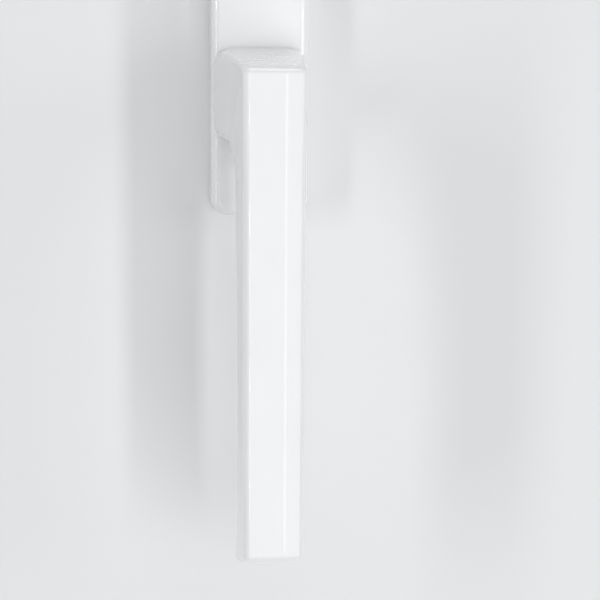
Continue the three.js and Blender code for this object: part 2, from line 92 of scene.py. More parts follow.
CAP_HALF_WIDTH, CAP_HALF_HEIGHT = half_size("cover_cap")
CAP_FRONT = out_span("cover_cap")[1]
PLATE_HALF_WIDTH, PLATE_HALF_HEIGHT = half_size("base_plate")
PLATE_FRONT = out_span("base_plate")[1]
SCREW_HEIGHT = (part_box("fixing_screw_upper")[0].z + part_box("fixing_screw_upper")[1].z) / 2
RIVET_HEIGHT = (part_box("back_plate_rivet_upper")[0].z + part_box("back_plate_rivet_upper")[1].z) / 2

GAP = 0.3 * MM          # running clearance between neighbours
OVERLAP = 0.1 * MM      # how far joined bodies reach into each other
LEAST_RADIUS = 0.3 * MM

# ---- Shape of the lever, as in the CAD source ----

FOOT_OUT = CAP_FRONT + GAP
FOOT_CORNER = 5.5 * MM
FRONT_TOP = 7.2 * MM
ARM_HALF_AT_HEAD = 8.8 * MM
ARM_HALF_AT_TIP = 8.5 * MM
ARM_THICKNESS = 12.5 * MM
WAIST_THICKNESS = 10 * MM
WAIST_RUN = 45 * MM
TIP_FLARE = 21 * MM
ARM_DRAFT = 0.0715
LEVER_EDGE = 1.9 * MM
NECK_STRAIGHT = 28 * MM
NECK_UNDERSIDE_END = 14.1 * MM
NECK_RADIUS = 2.4 * MM
HEAD_RADIUS = 1.4 * MM
TOP_FACE_END = 42 * MM
INNER_CURVE_DROP = 16.5 * MM
ARM_START = -NECK_UNDERSIDE_END - INNER_CURVE_DROP
FRONT_CROWN = 0.3 * MM
CROWN_DEPTH = 9 * MM

HUB_RADIUS = 8 * MM
JOURNAL_RADIUS = 6.7 * MM
JOURNAL_HALF_FLAT = 5.5 * MM
SLIDE_SEAT_BORE = 9.1 * MM
SLIDE_SEAT_RADIUS = 11.5 * MM
SLIDE_RING_BORE = 9.4 * MM
RING_GROOVE_RADIUS = 5.8 * MM
SOCKET_HALF = 3.8 * MM
SOCKET_DEPTH = 26.3 * MM
PIN_RADIUS = 1.25 * MM

# ---- Shape of the base ----

CAP_CORNER = 4.5 * MM
CAP_EDGE = 2.5 * MM
CAP_WALL = 1.5 * MM
CAP_HOLE_RADIUS = 11.6 * MM
WEB_BACK = 7.1 * MM
PIN_OUT = (PLATE_FRONT + WEB_BACK) / 2
POCKET_HALF_WIDTH = 11.1 * MM
POCKET_HALF_HEIGHT = 11.2 * MM
PLATE_EDGE = 0.6 * MM
RECESS_CORNER = 2.1 * MM
BACK_PLATE_CORNER = 1.8 * MM
SPINDLE_HOLE_RADIUS = 5.5 * MM
BUSH_FLANGE = 1.3 * MM
RIVET_HOLE_RADIUS = 1.3 * MM
RIVET_HOLE_DEPTH = 5.3 * MM
RIB_HEIGHT = 0.5 * MM
RIB_PLACE = 30 * MM
LUG_SEAT_RADIUS = 5 * MM + GAP
LUG_SEAT_DEPTH = 3 * MM
CAM_CORNER = 4 * MM
SCREW_RADIUS = 2.5 * MM
SCREW_HEAD_DEPTH = 2.8 * MM
SCREW_PITCH = 0.8 * MM
THREAD_DEPTH = 0.42 * MM

# ---- Steps round a full turn ----

FINE_TURN = 128
TURN = 96
SMALL_TURN = 48


# ---- Mesh helpers ----

def mix(a, b, t):
    return a + (b - a) * t


def clamp(value, low, high):
    return min(max(value, low), high)


def smooth(t):
    """Eases from 0 to 1, and stays there outside that span."""
    t = clamp(t, 0, 1)
    return t * t * (3 - 2 * t)


def new_object(name, vertices, faces):
    """An object in the scene with a clean mesh: no double points, normals outwards."""
    mesh = bpy.data.meshes.new(name)
    mesh.from_pydata(vertices, [], faces)
    work = bmesh.new()
    work.from_mesh(mesh)
    bmesh.ops.remove_doubles(work, verts=work.verts, dist=1e-7)
    bmesh.ops.dissolve_degenerate(work, edges=work.edges, dist=1e-8)
    bmesh.ops.recalc_face_normals(work, faces=work.faces)
    work.to_mesh(mesh)
    work.free()
    piece = bpy.data.objects.new(name, mesh)
    bpy.context.scene.collection.objects.link(piece)
    return piece


def loft(name, rings, closed=False):
    """A body through rings of equally many points: capped on both ends, or joined end to end."""
    count = len(rings[0])
    vertices = [point for ring in rings for point in ring]
    faces = []
    for k in range(len(rings) if closed else len(rings) - 1):
        low, high = k * count, (k + 1) % len(rings) * count
        for i in range(count):
            j = (i + 1) % count
            faces.append((low + i, low + j, high + j, high + i))
    if not closed:
        last = (len(rings) - 1) * count
        faces.append(tuple(reversed(range(count))))
        faces.append(tuple(range(last, last + count)))
    return new_object(name, vertices, faces)


def revolve(name, profile, z=0.0, steps=TURN):
    """A closed profile of (radius, out) points turned about an axis along Y."""
    rings = []
    for i in range(steps):
        angle = 2 * math.pi * i / steps
        rings.append([(r * math.cos(angle), -out, z + r * math.sin(angle)) for r, out in profile])
    return loft(name, rings, closed=True)


def bar(name, radius, back, front, x=0.0, z=0.0, steps=TURN):
    """A round bar along Y."""
    rings = []
    for out in (back, front):
        angles = [2 * math.pi * i / steps for i in range(steps)]
        rings.append([(x + radius * math.cos(a), -out, z + radius * math.sin(a)) for a in angles])
    return loft(name, rings)


def washer_profile(bore, radius, back, front, chamfer):
    """Section of a flat ring with its four edges broken."""
    return [
        (bore + chamfer, back),
        (radius - chamfer, back),
        (radius, back + chamfer),
        (radius, front - chamfer),
        (radius - chamfer, front),
        (bore + chamfer, front),
        (bore, front - chamfer),
        (bore, back + chamfer),
    ]


def block(name, half_x, half_z, back, front, x=0.0, z=0.0):
    corners = ((half_x, half_z), (-half_x, half_z), (-half_x, -half_z), (half_x, -half_z))
    return loft(name, [[(x + dx, -out, z + dz) for dx, dz in corners] for out in (back, front)])


def rounded_outline(half_top, half_bottom, top, bottom, radius_top, radius_bottom, steps, flats=1):
    """Points of a rounded outline: steps along each corner, flats along each straight side."""
    corners = (
        (half_top - radius_top, top - radius_top, radius_top, 0.0),
        (-half_top + radius_top, top - radius_top, radius_top, 0.5),
        (-half_bottom + radius_bottom, bottom + radius_bottom, radius_bottom, 1.0),
        (half_bottom - radius_bottom, bottom + radius_bottom, radius_bottom, 1.5),
    )
    arcs = []
    for x, z, radius, start in corners:
        angles = [math.pi * (start + 0.5 * i / steps) for i in range(steps + 1)]
        arcs.append([(x + radius * math.cos(a), z + radius * math.sin(a)) for a in angles])
    points = []
    for k, arc in enumerate(arcs):
        points += arc
        (x0, z0), (x1, z1) = arc[-1], arcs[(k + 1) % 4][0]
        points += [(mix(x0, x1, j / flats), mix(z0, z1, j / flats)) for j in range(1, flats)]
    return points


def plate_ring(half_x, half_z, radius, out, steps=10, flats=1):
    outline = rounded_outline(half_x, half_x, half_z, -half_z, radius, radius, steps, flats)
    return [(x, -out, z) for x, z in outline]


def plate(name, half_x, half_z, radius, back, front):
    return loft(name, [plate_ring(half_x, half_z, radius, out) for out in (back, front)])


def edged_plate(name, half_x, half_z, radius, edge, back, front, edge_steps=10, flats=1, sides=1):
    """A plate whose front edge is rounded."""
    rings = []
    for i in range(sides):
        rings.append(plate_ring(half_x, half_z, radius, mix(back, front - edge, i / sides), flats=flats))
    for i in range(edge_steps + 1):
        angle = 0.5 * math.pi * i / edge_steps
        inset = edge * (1 - math.cos(angle))
        out = front - edge * (1 - math.sin(angle))
        rings.append(plate_ring(half_x - inset, half_z - inset, radius - inset, out, flats=flats))
    return loft(name, rings)


def combine(piece, tool, operation):
    """Joins or cuts piece with tool, and removes tool."""
    modifier = piece.modifiers.new("combine", "BOOLEAN")
    modifier.operation = operation
    modifier.solver = "EXACT"
    modifier.object = tool
    evaluated = piece.evaluated_get(bpy.context.evaluated_depsgraph_get())
    mesh = bpy.data.meshes.new_from_object(evaluated)
    piece.modifiers.clear()
    piece.data = mesh
    bpy.data.objects.remove(tool)
    return piece


def cut(piece, tool):
    return combine(piece, tool, "DIFFERENCE")


def join(piece, tool):
    return combine(piece, tool, "UNION")


def intersect(piece, tool):
    return combine(piece, tool, "INTERSECT")


def pin_drill(radius, half_length, out):
    """A round bar along X."""
    rings = []
    for x in (-half_length, half_length):
        angles = [2 * math.pi * i / SMALL_TURN for i in range(SMALL_TURN)]
        rings.append([(x, -out + radius * math.cos(a), radius * math.sin(a)) for a in angles])
    return loft("drill", rings)


# ---- Lever ----

def lever_half_width(out, z):
    """The arm tapers towards its tip, and the sides flare from the front face back to the foot."""
    along = clamp((FRONT_TOP - z) / (FRONT_TOP + LEVER_REACH), 0, 1)
    front = mix(ARM_HALF_AT_HEAD, ARM_HALF_AT_TIP, along)
    back = PROJECTION - out
    neck = PROJECTION - FOOT_OUT
    flare = (FOOT_HALF_WIDTH - ARM_HALF_AT_HEAD - ARM_DRAFT * neck) / neck ** 2
    return front + ARM_DRAFT * back + flare * back ** 2


def lever_stations():
    """Sections that fan round the elbow: inner point, outer point, inner radius, outer radius."""
    stations = []
    elbow_out = PROJECTION - LEVER_EDGE
    slope = (FRONT_TOP - FOOT_HALF_HEIGHT) / (PROJECTION - FOOT_OUT)

    def top_face(out):
        return out, FOOT_HALF_HEIGHT + slope * (out - FOOT_OUT)

    neck_steps = 24
    for i in range(neck_steps + 1):
        t = i / neck_steps
        inner = (mix(FOOT_OUT, NECK_STRAIGHT, t), -mix(FOOT_HALF_HEIGHT, NECK_UNDERSIDE_END, t))
        outer_radius = mix(FOOT_CORNER, HEAD_RADIUS, 1 - (1 - t) ** 3)
        outer = top_face(mix(FOOT_OUT, TOP_FACE_END, t))
        stations.append((inner, outer, mix(FOOT_CORNER, NECK_RADIUS, t), outer_radius))
    curve_steps = 48
    elbow_start = 12
    elbow_end = 28
    for i in range(1, curve_steps + 1):
        t = i / curve_steps
        angle = 0.5 * math.pi * t
        inner = (
            mix(NECK_STRAIGHT, PROJECTION - ARM_THICKNESS, math.sin(angle)),
            -NECK_UNDERSIDE_END - INNER_CURVE_DROP * (1 - math.cos(angle)),
        )
        if i < elbow_start:
            outer = top_face(mix(TOP_FACE_END, elbow_out, i / elbow_start))
        elif i <= elbow_end:
            turn = 0.5 * math.pi * (i - elbow_start) / (elbow_end - elbow_start)
            outer = (
                elbow_out + LEVER_EDGE * math.sin(turn),
                FRONT_TOP - LEVER_EDGE * (1 - math.cos(turn)),
            )
        else:
            down = (i - elbow_end) / (curve_steps - elbow_end)
            outer = (PROJECTION, mix(FRONT_TOP - LEVER_EDGE, ARM_START, down))
        outer_radius = mix(HEAD_RADIUS, LEVER_EDGE, min(1, 2 * t))
        stations.append((inner, outer, mix(NECK_RADIUS, LEVER_EDGE, t), outer_radius))
    return stations


def crowned(x, out, z):
    """The front face bulges slightly: away from its middle it falls back."""
    share = smooth((out - PROJECTION + CROWN_DEPTH) / CROWN_DEPTH)
    return x, FRONT_CROWN * share * (x / lever_half_width(PROJECTION, z)) ** 2 - out, z


def lever_ring(station, inset=0.0):
    """The outline of one section, shrunk by inset."""
    inner, outer, inner_radius, outer_radius = station
    length = math.hypot(outer[0] - inner[0], outer[1] - inner[1])
    outline = rounded_outline(
        lever_half_width(*outer) - inset,
        lever_half_width(*inner) - inset,
        length - inset,
        inset,
        max(outer_radius - inset, LEAST_RADIUS),
        max(inner_radius - inset, LEAST_RADIUS),
        steps=10,
        flats=10,
    )
    points = []
    for x, across in outline:
        share = across / length
        points.append(crowned(x, mix(inner[0], outer[0], share), mix(inner[1], outer[1], share)))
    return points


def arm_thickness(z):
    """The arm narrows to a waist for the fingers and thickens again towards the tip."""
    into_waist = smooth((ARM_START - z) / WAIST_RUN)
    out_of_waist = smooth((TIP_FLARE - LEVER_REACH - TIP_SLANT - z) / TIP_FLARE)
    return mix(ARM_THICKNESS, WAIST_THICKNESS, into_waist - out_of_waist)


def arm_station(share, drop=0.0):
    """Section of the arm a share of the way from the elbow to the tip, whose end face is slanted."""
    inner_z = mix(ARM_START, LEVER_EDGE - LEVER_REACH - TIP_SLANT, share)
    outer_z = mix(ARM_START, LEVER_EDGE - LEVER_REACH, share)
    inner = (PROJECTION - arm_thickness(inner_z), inner_z - drop)
    return inner, (PROJECTION, outer_z - drop), LEVER_EDGE, LEVER_EDGE


def lever_body():
    """Foot, neck and arm as one skin, with a rounded edge round the tip's end face."""
    rings = [lever_ring(station) for station in lever_stations()]
    arm_steps = 72
    for i in range(1, arm_steps + 1):
        rings.append(lever_ring(arm_station(i / arm_steps)))
    edge_steps = 12
    for i in range(1, edge_steps + 1):
        angle = 0.5 * math.pi * i / edge_steps
        tip = arm_station(1, LEVER_EDGE * math.sin(angle))
        rings.append(lever_ring(tip, LEVER_EDGE * (1 - math.cos(angle))))
    return loft("lever_body", rings)


def journal_bar(radius, half_flat, back, front):
    """Round bar with two flats."""
    flats = block("flats", half_flat, 2 * radius, back - MM, front + MM)
    return intersect(bar("journal", radius, back, front), flats)


def build_lever():
    body = lever_body()
    ring_low, ring_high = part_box("retaining_ring")
    groove_back, groove_front = -ring_high.y - GAP, -ring_low.y + GAP
    groove = washer_profile(RING_GROOVE_RADIUS, 2 * HUB_RADIUS, groove_back, groove_front, 0)
    slide_back, slide_front = out_span("slide_ring")
    seat = washer_profile(SLIDE_SEAT_BORE, SLIDE_SEAT_RADIUS, slide_back - MM, slide_front + GAP, 0)
    cut(body, revolve("seat", seat))
    join(body, bar("hub", HUB_RADIUS, WEB_BACK, FOOT_OUT + MM))
    journal = journal_bar(JOURNAL_RADIUS, JOURNAL_HALF_FLAT, HUB_END, WEB_BACK + OVERLAP)
    join(body, cut(journal, revolve("groove", groove)))
    cut(body, block("socket", SOCKET_HALF, SOCKET_HALF, 0, SOCKET_DEPTH))
    cut(body, pin_drill(PIN_RADIUS + GAP, 2 * HUB_RADIUS, PIN_OUT))
    return body


# ---- Base ----

def cut_all(piece, tools):
    for tool in tools:
        cut(piece, tool)
    return piece


def snap_blocks(height, clearance):
    """Ribs inside the cap, or with a clearance the notches for them in the carrier's sides."""
    inside = CAP_HALF_WIDTH - CAP_WALL
    half_length = 2.5 * MM + clearance
    back = 1.6 * MM - clearance
    front = 2.6 * MM + clearance
    blocks = []
    for side in (-1, 1):
        for end in (-1, 1):
            x = side * (inside + OVERLAP - height / 2)
            half_x = height / 2 + OVERLAP
            blocks.append(block("rib", half_x, half_length, back, front, x, end * RIB_PLACE))
    return blocks


def build_cover_cap():
    """A shell open at the back, with a hole for the guide bush and ribs that snap on the carrier."""
    cap = edged_plate(
        "cap", CAP_HALF_WIDTH, CAP_HALF_HEIGHT, CAP_CORNER, CAP_EDGE, 0, CAP_FRONT, flats=12, sides=5,
    )
    corner, edge = CAP_CORNER - CAP_WALL, CAP_EDGE - CAP_WALL
    half_x, half_z = CAP_HALF_WIDTH - CAP_WALL, CAP_HALF_HEIGHT - CAP_WALL
    cut(cap, edged_plate("cavity", half_x, half_z, corner, edge, -MM, CAP_FRONT - CAP_WALL, 4))
    cut(cap, bar("hole", CAP_HOLE_RADIUS, 0, 2 * CAP_FRONT))
    for rib in snap_blocks(RIB_HEIGHT, 0):
        join(cap, rib)
    return cap


def build_base_plate():
    """The cast carrier with its bore, detent pocket, screw sinks and seats for lugs and rivets."""
    corner = CAP_CORNER - (CAP_WALL + GAP)
    body = edged_plate(
        "carrier", PLATE_HALF_WIDTH, PLATE_HALF_HEIGHT, corner, PLATE_EDGE, 0, PLATE_FRONT, 4,
    )
    back_x, back_z = half_size("back_plate")
    recess = out_span("back_plate")[1] + GAP
    cut_all(body, [
        bar("bore", half_size("guide_bush")[0] - BUSH_FLANGE, 0, CAP_FRONT),
        plate("pocket", POCKET_HALF_WIDTH, POCKET_HALF_HEIGHT, MM, -MM, WEB_BACK),
        plate("recess", back_x + GAP, back_z + GAP, RECESS_CORNER, -MM, recess),
        *snap_blocks(RIB_HEIGHT + GAP, GAP),
    ])
    head_front = out_span("fixing_screw_upper")[1]
    head_radius = half_size("fixing_screw_upper")[0]
    clear = 0.4 * MM
    for side in (-1, 1):
        z = side * SCREW_HEIGHT
        sink = [
            (0, head_front - SCREW_HEAD_DEPTH),
            (SCREW_RADIUS + clear, head_front - SCREW_HEAD_DEPTH),
            (head_radius + clear, head_front),
            (head_radius + clear, CAP_FRONT),
            (0, CAP_FRONT),
        ]
        cut_all(body, [
            bar("screw_hole", SCREW_RADIUS + GAP, -MM, CAP_FRONT, 0, z),
            bar("lug_seat", LUG_SEAT_RADIUS, -MM, LUG_SEAT_DEPTH, 0, z),
            revolve("sink", sink, z),
            bar("rivet_hole", RIVET_HOLE_RADIUS, 0, RIVET_HOLE_DEPTH, 0, side * RIVET_HEIGHT, SMALL_TURN),
        ])
    return body


def build_guide_bush():
    back, front = out_span("guide_bush")
    radius = half_size("guide_bush")[0]
    bore = HUB_RADIUS + GAP
    sleeve = radius - 1.6 * MM
    flange_back = PLATE_FRONT + GAP
    edge = 0.2 * MM
    return revolve("bush", [
        (bore + edge, back),
        (sleeve - edge, back),
        (sleeve, back + edge),
        (sleeve, flange_back),
        (radius - edge, flange_back),
        (radius, flange_back + edge),
        (radius, front - edge),
        (radius - edge, front),
        (bore + edge, front),
        (bore, front - edge),
        (bore, back + edge),
    ], steps=FINE_TURN)


def build_ring(node, bore, edge):
    """A flat ring as large as its CAD node."""
    back, front = out_span(node)
    profile = washer_profile(bore, half_size(node)[0], back, front, edge)
    return revolve(node, profile, steps=FINE_TURN)


def build_back_plate():
    half_x, half_z = half_size("back_plate")
    back, front = out_span("back_plate")
    body = plate("back", half_x, half_z, BACK_PLATE_CORNER, back, front)
    cut(body, bar("spindle_hole", SPINDLE_HOLE_RADIUS, back - MM, front + MM))
    below, sink_depth, beyond = -0.01 * MM, 0.6 * MM, 2 * MM
    sink_radius = 1.7 * MM
    hole = [
        (0, below),
        (sink_radius, below),
        (RIVET_HOLE_RADIUS, sink_depth),
        (RIVET_HOLE_RADIUS, beyond),
        (0, beyond),
    ]
    for side in (-1, 1):
        cut(body, revolve("rivet_hole", hole, side * RIVET_HEIGHT, SMALL_TURN))
    return body


def build_rivet(z):
    back, front = out_span("back_plate_rivet_upper")
    shank = 1 * MM
    head_depth = 0.6 * MM
    head = half_size("back_plate_rivet_upper")[0]
    dish = 0.12 * MM
    return revolve("rivet", [
        (0, back + dish),
        (0.5 * head, back + dish),
        (0.8 * head, back),
        (head, back),
        (shank, head_depth),
        (shank, front - dish),
        (shank - dish, front),
        (0, front),
    ], z, SMALL_TURN)


# ---- Detent ----

def build_detent_cam():
    back, front = out_span("detent_cam")
    half = half_size("detent_cam")[0]
    body = plate("cam", half, half, CAM_CORNER, back, front)
    bore = journal_bar(JOURNAL_RADIUS + GAP, JOURNAL_HALF_FLAT + GAP, back - MM, front + MM)
    return cut(body, bore)


def build_detent_spring(side):
    """Leaf spring with smooth bends: flat on the cam, its ends lean on the pocket's wall."""
    low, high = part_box("detent_spring_right")
    thick = 0.5 * MM
    flat_x, end_x = low.x + thick / 2, high.x - thick / 2
    half_length = high.z
    half_flat = 5.8 * MM
    steps = 48
    nudge = 1e-6
    rings = []
    for i in range(-steps, steps + 1):
        z = half_length * i / steps
        rise = smooth((abs(z) - half_flat) / (half_length - half_flat))
        slope = smooth((abs(z) + nudge - half_flat) / (half_length - half_flat)) - rise
        angle = math.atan2((end_x - flat_x) * slope, nudge) * (1 if z >= 0 else -1)
        x = mix(flat_x, end_x, rise)
        dx, dz = 0.5 * thick * math.cos(angle), -0.5 * thick * math.sin(angle)
        outer_x, inner_x = side * (x + dx), side * (x - dx)
        outer_z = clamp(z + dz, -half_length, half_length)
        inner_z = clamp(z - dz, -half_length, half_length)
        rings.append([
            (outer_x, high.y, outer_z),
            (outer_x, low.y, outer_z),
            (inner_x, low.y, inner_z),
            (inner_x, high.y, inner_z),
        ])
    return loft("leaf", rings)


def build_wave_washer():
    """A thin washer with three waves."""
    back, front = out_span("wave_washer")
    wave, waves = 0.1 * MM, 3
    edge = 0.05 * MM
    bore, radius = JOURNAL_RADIUS + GAP, half_size("wave_washer")[0]
    section = washer_profile(bore, radius, back + wave, front - wave, edge)
    steps = 144
    rings = []
    for i in range(steps):
        angle = 2 * math.pi * i / steps
        lift = wave * math.cos(waves * angle)
        rings.append([(r * math.cos(angle), -out + lift, r * math.sin(angle)) for r, out in section])
    return loft("wave", rings, closed=True)


def build_retaining_ring():
    """A circlip, open at the bottom, with two eyes for the pliers."""
    back, front = out_span("retaining_ring")
    radius = half_size("retaining_ring")[0]
    bore = RING_GROOVE_RADIUS + GAP
    eye_x, eye_z = 2.1 * MM, -radius + 0.6 * MM
    eye_radius, eye_hole, eye_hole_steps = 1.4 * MM, 0.6 * MM, 32
    slot_half_width, slot_half_height = 0.8 * MM, 3 * MM
    below, above = back - MM, front + MM
    body = bar("ring", radius, back, front)
    for side in (-1, 1):
        join(body, bar("eye", eye_radius, back, front, side * eye_x, eye_z, SMALL_TURN))
    cut(body, bar("bore", bore, below, above))
    cut(body, block("slot", slot_half_width, slot_half_height, below, above, 0, eye_z - MM))
    for side in (-1, 1):
        cut(body, bar("eye_hole", eye_hole, below, above, side * eye_x, eye_z, eye_hole_steps))
    return body


# ---- Spindle, pin, screws and lugs ----

def build_spindle():
    """A square bar with broken ends and a hole for the roll pin."""
    back, front = out_span("spindle")
    half = half_size("spindle")[0]
    corner, corner_steps = 0.6 * MM, 3
    end = 0.5 * MM
    front_half = half - 0.2 * MM
    rings = [
        plate_ring(half - end, half - end, corner, back, corner_steps),
        plate_ring(half, half, corner, back + end, corner_steps),
        plate_ring(half, half, corner, front - end, corner_steps),
        plate_ring(front_half, front_half, corner, front, corner_steps),
    ]
    return cut(loft("bar", rings), pin_drill(PIN_RADIUS + GAP, 2 * half, PIN_OUT))


def build_roll_pin():
    """Spring pin rolled from strip, with a slit along it and tapered ends."""
    half_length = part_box("spindle_roll_pin")[1].x
    inner = PIN_RADIUS - 0.5 * MM
    end_radius = PIN_RADIUS - 0.2 * MM
    slit = math.asin(0.3 * MM / PIN_RADIUS)
    taper = 0.7 * MM
    steps = 40
    angles = [mix(slit, 2 * math.pi - slit, i / steps) for i in range(steps + 1)]
    rings = []
    for x, radius in (
        (-half_length, end_radius),
        (taper - half_length, PIN_RADIUS),
        (half_length - taper, PIN_RADIUS),
        (half_length, end_radius),
    ):
        outside = [(x, -PIN_OUT + radius * math.sin(a), -radius * math.cos(a)) for a in angles]
        inside = [(x, -PIN_OUT + inner * math.sin(a), -inner * math.cos(a)) for a in reversed(angles)]
        rings.append(outside + inside)
    return loft("roll_pin", rings)


def thread_radius(out, angle, start):
    """Radius of the screw's thread; it fades in from the plain shank under the head."""
    crest_flat, flank = 0.15, 0.7
    phase = (out / SCREW_PITCH - angle / (2 * math.pi)) % 1
    crest = clamp((abs(2 * phase - 1) - crest_flat) / flank, 0, 1)
    fade = smooth((start - out) / SCREW_PITCH)
    return SCREW_RADIUS - THREAD_DEPTH * fade * (1 - crest)


def build_fixing_screw(z):
    """A countersunk screw with a cross recess and a real thread."""
    back, front = out_span("fixing_screw_upper")
    head = half_size("fixing_screw_upper")[0]
    rim, rim_edge = 0.4 * MM, 0.15 * MM
    tip, tip_radius = 1 * MM, SCREW_RADIUS - 0.7 * MM
    thread_start = -2 * MM
    steps = 24
    angles = [2 * math.pi * i / steps for i in range(steps)]

    def round_ring(radius, out):
        return [(radius * math.cos(a), -out, z + radius * math.sin(a)) for a in angles]

    rings = [
        round_ring(head - rim_edge, front),
        round_ring(head, front - rim_edge),
        round_ring(head, front - rim),
        round_ring(SCREW_RADIUS, front - SCREW_HEAD_DEPTH),
        round_ring(SCREW_RADIUS, thread_start + OVERLAP),
    ]
    rows_per_pitch = 8
    rows = round((thread_start - back - tip) / SCREW_PITCH * rows_per_pitch)
    for i in range(rows + 1):
        out = mix(thread_start, back + tip, i / rows)
        ring = []
        for a in angles:
            radius = thread_radius(out, a, thread_start)
            ring.append((radius * math.cos(a), -out, z + radius * math.sin(a)))
        rings.append(ring)
    rings.append(round_ring(tip_radius, back))
    body = loft("screw", rings)
    cross_reach, cross_width, cross_depth = 2.5 * MM, 0.55 * MM, 2 * MM
    cross_corner, corner_steps = 0.1 * MM, 2
    narrow = 0.6
    for half_x, half_z in ((cross_reach, cross_width), (cross_width, cross_reach)):
        floor_x, floor_z = half_x * narrow, half_z * narrow
        slot = [
            plate_ring(floor_x, floor_z, cross_corner, front - cross_depth, corner_steps),
            plate_ring(half_x, half_z, cross_corner, front + OVERLAP, corner_steps),
        ]
        slot = [[(px, py, pz + z) for px, py, pz in ring] for ring in slot]
        cut(body, loft("slot", slot))
    return body


def build_locating_lug(z):
    back, front = out_span("locating_lug_upper")
    radius = half_size("locating_lug_upper")[0]
    bore = SCREW_RADIUS + GAP
    chamfer = 0.8 * MM
    edge = 0.2 * MM
    return revolve("lug", [
        (bore + edge, back),
        (radius - chamfer, back),
        (radius, back + chamfer),
        (radius, front - edge),
        (radius - edge, front),
        (bore + edge, front),
        (bore, front - edge),
        (bore, back + edge),
    ], z)


# ---- Finishes ----

def new_material(name):
    material = bpy.data.materials.new(name)
    material.use_nodes = True
    tree = material.node_tree
    return material, tree, tree.nodes["Principled BSDF"]


def noise(tree, scale, detail=2.0, stretch=(1, 1, 1)):
    """Noise fixed to the object; scale is in cycles per metre."""
    position = tree.nodes.new("ShaderNodeTexCoord")
    mapping = tree.nodes.new("ShaderNodeMapping")
    mapping.inputs["Scale"].default_value = stretch
    texture = tree.nodes.new("ShaderNodeTexNoise")
    texture.inputs["Scale"].default_value = scale
    texture.inputs["Detail"].default_value = detail
    tree.links.new(position.outputs["Object"], mapping.inputs["Vector"])
    tree.links.new(mapping.outputs["Vector"], texture.inputs["Vector"])
    return texture.outputs["Fac"]


def remap(tree, value, low, high):
    """Spreads noise, which mostly lies between 0.3 and 0.7, over low to high."""
    node = tree.nodes.new("ShaderNodeMapRange")
    node.inputs["From Min"].default_value = 0.3
    node.inputs["From Max"].default_value = 0.7
    node.inputs["To Min"].default_value = low
    node.inputs["To Max"].default_value = high
    tree.links.new(value, node.inputs["Value"])
    return node.outputs["Result"]


def blend_colors(tree, factor, first, second):
    node = tree.nodes.new("ShaderNodeMix")
    node.data_type = "RGBA"
    node.inputs["A"].default_value = (*first, 1)
    node.inputs["B"].default_value = (*second, 1)
    tree.links.new(factor, node.inputs["Factor"])
    return node.outputs["Result"]


def bumps(tree, shader, layers):
    """Stacks bump layers, each a height and its depth in metres."""
    normal = None
    for height, depth in layers:
        node = tree.nodes.new("ShaderNodeBump")
        node.inputs["Distance"].default_value = depth
        tree.links.new(height, node.inputs["Height"])
        if normal:
            tree.links.new(normal, node.inputs["Normal"])
        normal = node.outputs["Normal"]
    tree.links.new(normal, shader.inputs["Normal"])


def enamel():
    """Gloss white powder coat: faint orange peel, and long soft waves from polishing along the arm."""
    material, tree, shader = new_material("lever_enamel")
    tint = remap(tree, noise(tree, 60), 0, 1)
    color = blend_colors(tree, tint, (0.835, 0.838, 0.85), (0.85, 0.852, 0.862))
    tree.links.new(color, shader.inputs["Base Color"])
    tree.links.new(remap(tree, noise(tree, 300, 3), 0.1, 0.17), shader.inputs["Roughness"])
    shader.inputs["Specular IOR Level"].default_value = 0.3
    shader.inputs["Coat Weight"].default_value = 1
    shader.inputs["Coat Roughness"].default_value = 0.03
    bumps(tree, shader, [
        (noise(tree, 45, 1, (1, 1, 0.25)), 6e-6),
        (noise(tree, 620, 1), 1.3e-6),
    ])
    return material


def moulded_plastic(name, dark, light, roughness, grain_depth):
    """Moulded plastic with a fine grain from the tool and a little colour drift."""
    material, tree, shader = new_material(name)
    drift = remap(tree, noise(tree, 90), 0, 1)
    tree.links.new(blend_colors(tree, drift, dark, light), shader.inputs["Base Color"])
    gloss = remap(tree, noise(tree, 500, 3), roughness - 0.05, roughness + 0.05)
    tree.links.new(gloss, shader.inputs["Roughness"])
    bumps(tree, shader, [
        (noise(tree, 70, 1), 5e-6),
        (noise(tree, 1800, 2), grain_depth),
    ])
    return material


def metal(name, dark, light, roughness, grain_scale, grain_depth, stretch=(1, 1, 1)):
    """Bare or plated metal: mottled colour, uneven gloss and a fine grain."""
    material, tree, shader = new_material(name)
    shader.inputs["Metallic"].default_value = 1
    mottle = remap(tree, noise(tree, 220, 4, stretch), 0, 1)
    tree.links.new(blend_colors(tree, mottle, dark, light), shader.inputs["Base Color"])
    gloss = remap(tree, noise(tree, 0.4 * grain_scale, 4, stretch), roughness - 0.08, roughness + 0.1)
    tree.links.new(gloss, shader.inputs["Roughness"])
    bumps(tree, shader, [(noise(tree, grain_scale, 3, stretch), grain_depth)])
    return material


# name: dark, light, roughness, grain depth in metres
PLASTICS = {
    "cap_plastic": ((0.86, 0.865, 0.87), (0.875, 0.878, 0.88), 0.07, 3e-7),
    "natural_plastic": ((0.74, 0.73, 0.69), (0.8, 0.79, 0.75), 0.45, 4e-6),
    "grey_plastic": ((0.16, 0.165, 0.17), (0.21, 0.215, 0.22), 0.5, 8e-6),
}
# name: dark, light, roughness, grain in cycles per metre, grain depth in metres, stretch of the grain
METALS = {
    "cast_zinc": ((0.42, 0.43, 0.45), (0.56, 0.57, 0.59), 0.42, 2600, 1.6e-5),
    "plated_steel": ((0.62, 0.63, 0.66), (0.74, 0.75, 0.76), 0.26, 3000, 3e-6, (1, 0.08, 1)),
    "spring_steel": ((0.2, 0.21, 0.23), (0.31, 0.32, 0.34), 0.32, 2400, 3e-6),
}
FINISHES = {"lever_enamel": enamel()}
FINISHES.update({name: moulded_plastic(name, *row) for name, row in PLASTICS.items()})
FINISHES.update({name: metal(name, *row) for name, row in METALS.items()})


